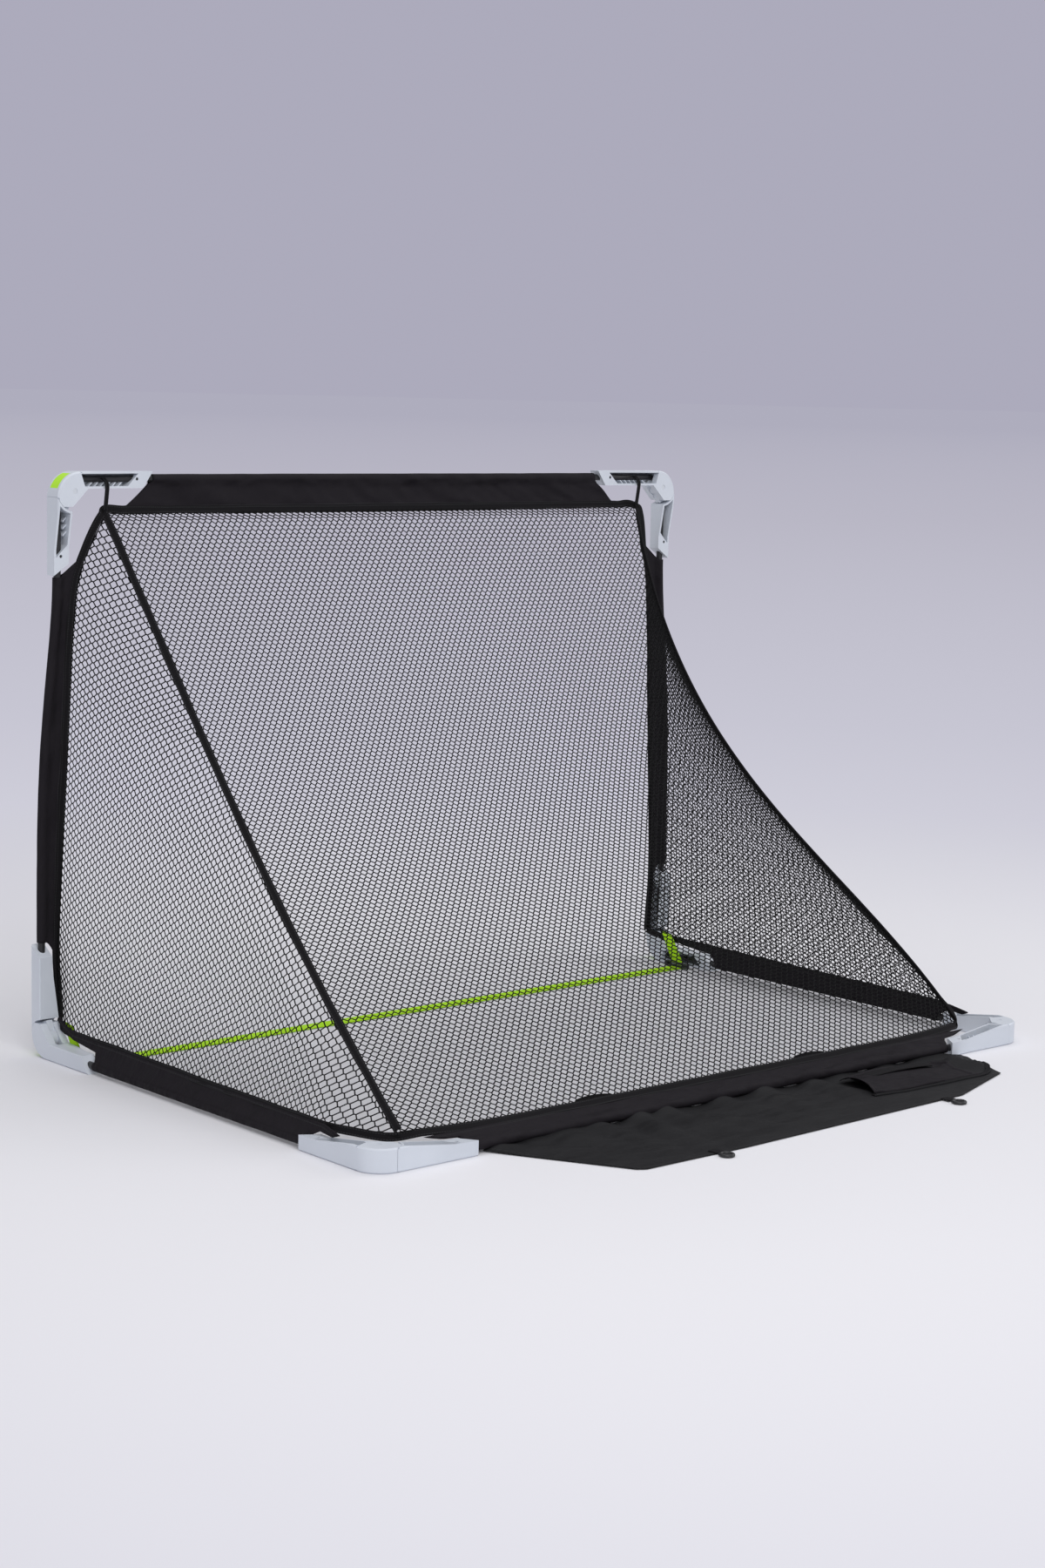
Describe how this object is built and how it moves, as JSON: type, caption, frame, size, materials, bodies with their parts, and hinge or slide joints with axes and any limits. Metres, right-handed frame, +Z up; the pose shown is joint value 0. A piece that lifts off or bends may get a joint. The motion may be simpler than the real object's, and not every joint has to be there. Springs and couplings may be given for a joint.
{
  "type": "folding hockey goal",
  "caption": "Folding street hockey goal: rod frame with hinged corner brackets, fabric sleeves, sloping net, goal-line strap and a carry-bag flap on the rear bar.",
  "frame": {"origin": "middle of the box on the ground: mid-width, half-way from the mouth's outer face to the tips of the bag's hooks", "axes": "+Z up, +X to the right of a shooter who faces the mouth, +Y from the mouth to the rear bar"},
  "size_m": [1.2, 0.957, 0.8],
  "materials": {
    "bracket_plastic": "satin moulded plastic",
    "rod_coating": "satin black",
    "hinge_pin_plastic": "pale moulded plastic",
    "screw_steel": "black oxide",
    "inlay_rubber": "matt neon rubber",
    "sleeve_fabric": "tight woven polyester",
    "hem_tape": "ribbed binding tape",
    "net_mesh": "knotless net",
    "neon_webbing": "neon webbing",
    "keeper_plastic": "black moulded plastic",
    "elastic_cord": "braided elastic",
    "bag_fabric": "coated woven polyester"
  },
  "bodies": {
    "base_frame": {"foot_bracket_left": "bracket_plastic", "foot_bracket_right": "bracket_plastic", "rear_bracket_side_left": "bracket_plastic", "rear_bracket_side_right": "bracket_plastic", "rear_bracket_bar_left": "bracket_plastic", "rear_bracket_bar_right": "bracket_plastic", "rear_bar": "rod_coating", "side_rod_left": "rod_coating", "side_rod_right": "rod_coating", "foot_hinge_pins": "hinge_pin_plastic", "rear_hinge_pins": "hinge_pin_plastic", "base_screws": "screw_steel", "foot_inserts": "inlay_rubber", "rear_sleeve": "sleeve_fabric", "side_sleeve_left": "sleeve_fabric", "side_sleeve_right": "sleeve_fabric", "side_band_left": "sleeve_fabric", "side_band_right": "sleeve_fabric", "seam_tape_left": "hem_tape", "seam_tape_right": "hem_tape", "closure_loops": "hem_tape", "back_net": "net_mesh", "side_net_left": "net_mesh", "side_net_right": "net_mesh", "goal_line_strap": "neon_webbing", "corner_tab_left": "neon_webbing", "corner_tab_right": "neon_webbing", "strap_keepers": "keeper_plastic"},
    "front_frame": {"crossbar": "rod_coating", "post_left": "rod_coating", "post_right": "rod_coating", "top_bracket_bar_left": "bracket_plastic", "top_bracket_bar_right": "bracket_plastic", "top_bracket_post_left": "bracket_plastic", "top_bracket_post_right": "bracket_plastic", "foot_bracket_post_left": "bracket_plastic", "foot_bracket_post_right": "bracket_plastic", "top_hinge_pins": "hinge_pin_plastic", "front_screws": "screw_steel", "top_inserts": "inlay_rubber", "crossbar_sleeve": "sleeve_fabric", "post_sleeve_left": "sleeve_fabric", "post_sleeve_right": "sleeve_fabric", "front_hem": "hem_tape", "shock_cord_left": "elastic_cord", "shock_cord_right": "elastic_cord"},
    "bag": {"bag_flap": "bag_fabric", "bag_pocket": "bag_fabric", "bag_handle": "bag_fabric", "hook_tabs": "hem_tape"},
    "hook_left": {"hook_left": "keeper_plastic"},
    "hook_right": {"hook_right": "keeper_plastic"}
  },
  "joints": [
    {"name": "front_frame_fold", "type": "hinge", "parent": "base_frame", "child": "front_frame", "pos_m": [0, -0.4525, 0.026], "axis": [-1, 0, 0], "range_deg": [0, 88], "deforming": ["back_net", "side_net_left", "side_net_right", "seam_tape_left", "seam_tape_right", "side_band_left", "side_band_right", "corner_tab_left", "corner_tab_right"]},
    {"name": "bag_flap_lift", "type": "hinge", "parent": "base_frame", "child": "bag", "pos_m": [0, 0.276, 0.0105], "axis": [1, 0, 0], "range_deg": [0, 45]},
    {"name": "hook_left_turn", "type": "hinge", "parent": "bag", "child": "hook_left", "pos_m": [-0.24, 0.4603, 0.0022], "axis": [1, 0, 0], "range_deg": [0, 120]},
    {"name": "hook_right_turn", "type": "hinge", "parent": "bag", "child": "hook_right", "pos_m": [0.196, 0.4603, 0.0022], "axis": [1, 0, 0], "range_deg": [0, 120]}
  ]
}
